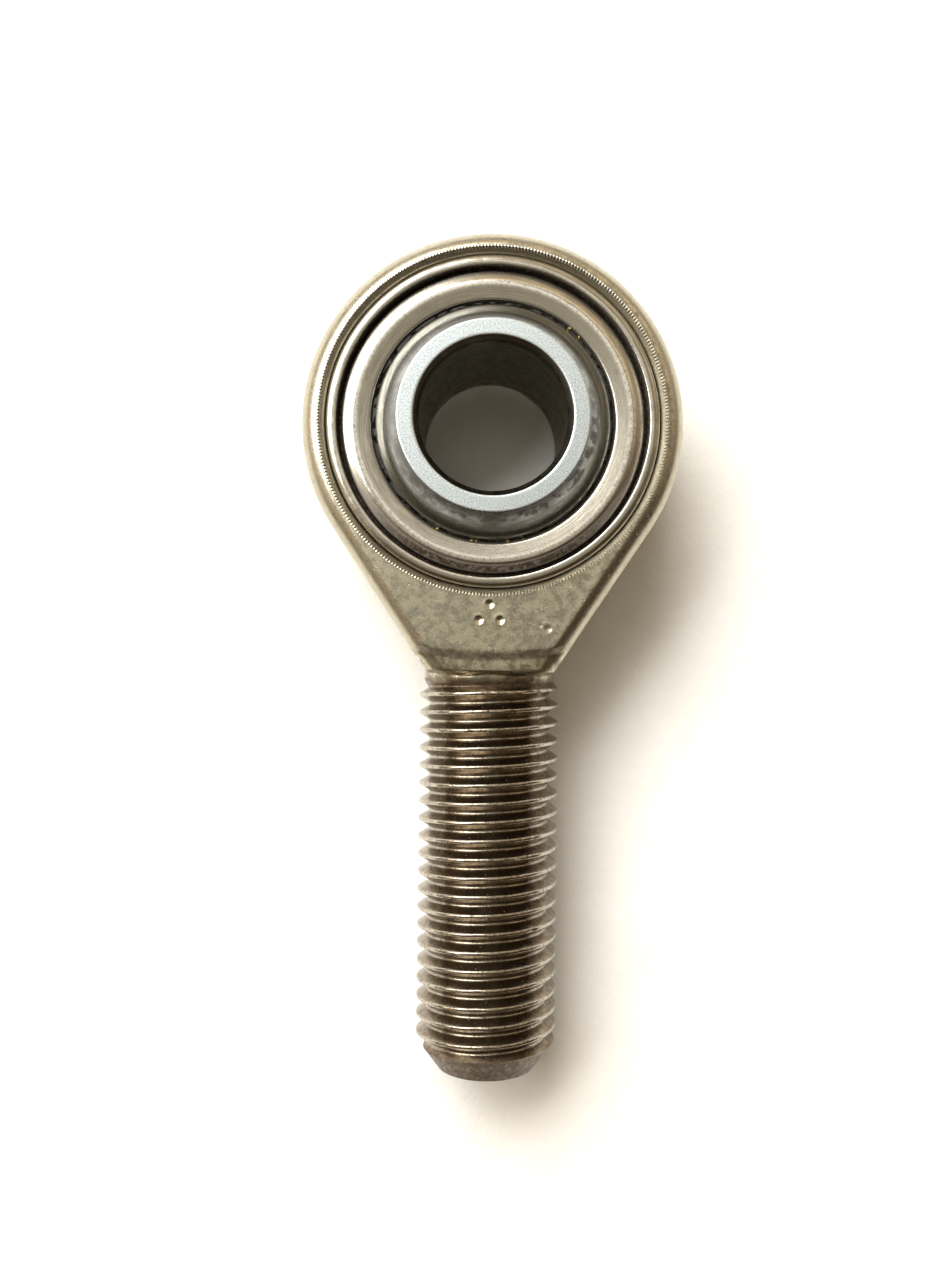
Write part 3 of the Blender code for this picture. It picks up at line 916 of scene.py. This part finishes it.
def soft_box(name, azimuth, elevation, distance, width, height, radiance, color):
    """An area light of a given radiance that faces the middle of the part."""
    target = np.array([0.0, -0.012, 0.0])
    place = target + direction(azimuth, elevation) * distance
    data = bpy.data.lights.new(name, "AREA")
    data.shape, data.size, data.size_y = "RECTANGLE", width, height
    data.energy = radiance * math.pi * width * height
    data.color = color
    ob = bpy.data.objects.new(name, data)
    bpy.context.scene.collection.objects.link(ob)
    z = (place - target) / np.linalg.norm(place - target)
    x = np.cross((0, 0, 1), z)
    x /= np.linalg.norm(x)
    y = np.cross(z, x)
    m = Matrix([[x[i], y[i], z[i], place[i]] for i in range(3)] + [[0, 0, 0, 1]])
    ob.matrix_world = m
    ob.visible_camera = False
    return ob


soft_box("window", 140, 45, 0.42, 0.48, 0.27, 5.8, (1.0, 0.985, 0.95))
fill = soft_box("sky_fill", 111, 46, 0.42, 0.28, 0.24, 8.2, (1.0, 0.985, 0.95))
fill.visible_glossy = False


def world():
    w = bpy.data.worlds.new("studio")
    bpy.context.scene.world = w
    w.use_nodes = True
    t = w.node_tree
    t.nodes.clear()
    out, back = t.nodes.new("ShaderNodeOutputWorld"), t.nodes.new("ShaderNodeBackground")
    coords = t.nodes.new("ShaderNodeTexCoord")

    def share(axis, lo, hi):
        """How far a direction lies along an axis, as 0 to 1 between two cosines."""
        dot, ramp = t.nodes.new("ShaderNodeVectorMath"), t.nodes.new("ShaderNodeMapRange")
        dot.operation = "DOT_PRODUCT"
        dot.inputs[1].default_value = axis
        ramp.interpolation_type = "SMOOTHSTEP"
        ramp.inputs["From Min"].default_value, ramp.inputs["From Max"].default_value = lo, hi
        t.links.new(coords.outputs["Generated"], dot.inputs[0])
        t.links.new(dot.outputs["Value"], ramp.inputs["Value"])
        return ramp.outputs[0]

    def blend(factor, a, b):
        mix = t.nodes.new("ShaderNodeMix")
        mix.data_type = "RGBA"
        t.links.new(factor, mix.inputs["Factor"])
        for socket, value in ((mix.inputs[6], a), (mix.inputs[7], b)):
            if isinstance(value, tuple):
                socket.default_value = (*value, 1)
            else:
                t.links.new(value, socket)
        return mix.outputs[2]

    # dark towards the shank's end, paler walls on the far side, a dim band above them and a paler ceiling
    far = share((-0.30, 0.954, 0.0), -0.62, 0.35)
    horizon = blend(far, (0.045, 0.026, 0.014), (0.26, 0.22, 0.17))
    walls = blend(far, (0.060, 0.034, 0.017), (0.85, 0.67, 0.44))
    high = blend(far, (0.085, 0.058, 0.034), (0.34, 0.29, 0.21))
    ceiling = blend(share((0.0, 1.0, 0.0), 0.06, 0.34), (0.43, 0.39, 0.30), (1.10, 1.03, 0.89))
    room = blend(share((0.0, 0.0, 1.0), 0.10, 0.30), horizon, walls)
    room = blend(share((0.0, 0.0, 1.0), 0.62, 0.80), room, high)
    room = blend(share((0.0, 0.0, 1.0), 0.84, 0.95), room, ceiling)
    t.links.new(room, back.inputs[0])
    pale, seen, pick = t.nodes.new("ShaderNodeBackground"), t.nodes.new("ShaderNodeLightPath"), t.nodes.new("ShaderNodeMixShader")
    pale.inputs[0].default_value = (0.90, 0.89, 0.865, 1.0)
    t.links.new(seen.outputs["Is Camera Ray"], pick.inputs[0])
    t.links.new(back.outputs[0], pick.inputs[1])
    t.links.new(pale.outputs[0], pick.inputs[2])
    t.links.new(pick.outputs[0], out.inputs[0])


world()


# ---------------------------------------------------------------- camera
def camera():
    tilt, roll, turn = -0.01821, 0.00385, -0.01105
    m = Matrix.Rotation(turn, 3, "Z") @ Matrix.Rotation(roll, 3, "Y") @ Matrix.Rotation(tilt, 3, "X")
    data = bpy.data.cameras.new("photo_view")
    data.sensor_width, data.lens = 36.0, 32.20
    data.clip_start, data.clip_end = 0.005, 20.0
    ob = bpy.data.objects.new("photo_view", data)
    bpy.context.scene.collection.objects.link(ob)
    ob.matrix_world = Matrix.Translation((-0.0016187, -0.0190174, 0.0975192)) @ m.transposed().to_4x4()
    bpy.context.scene.camera = ob


camera()
bpy.context.scene.view_settings.view_transform = "Standard"
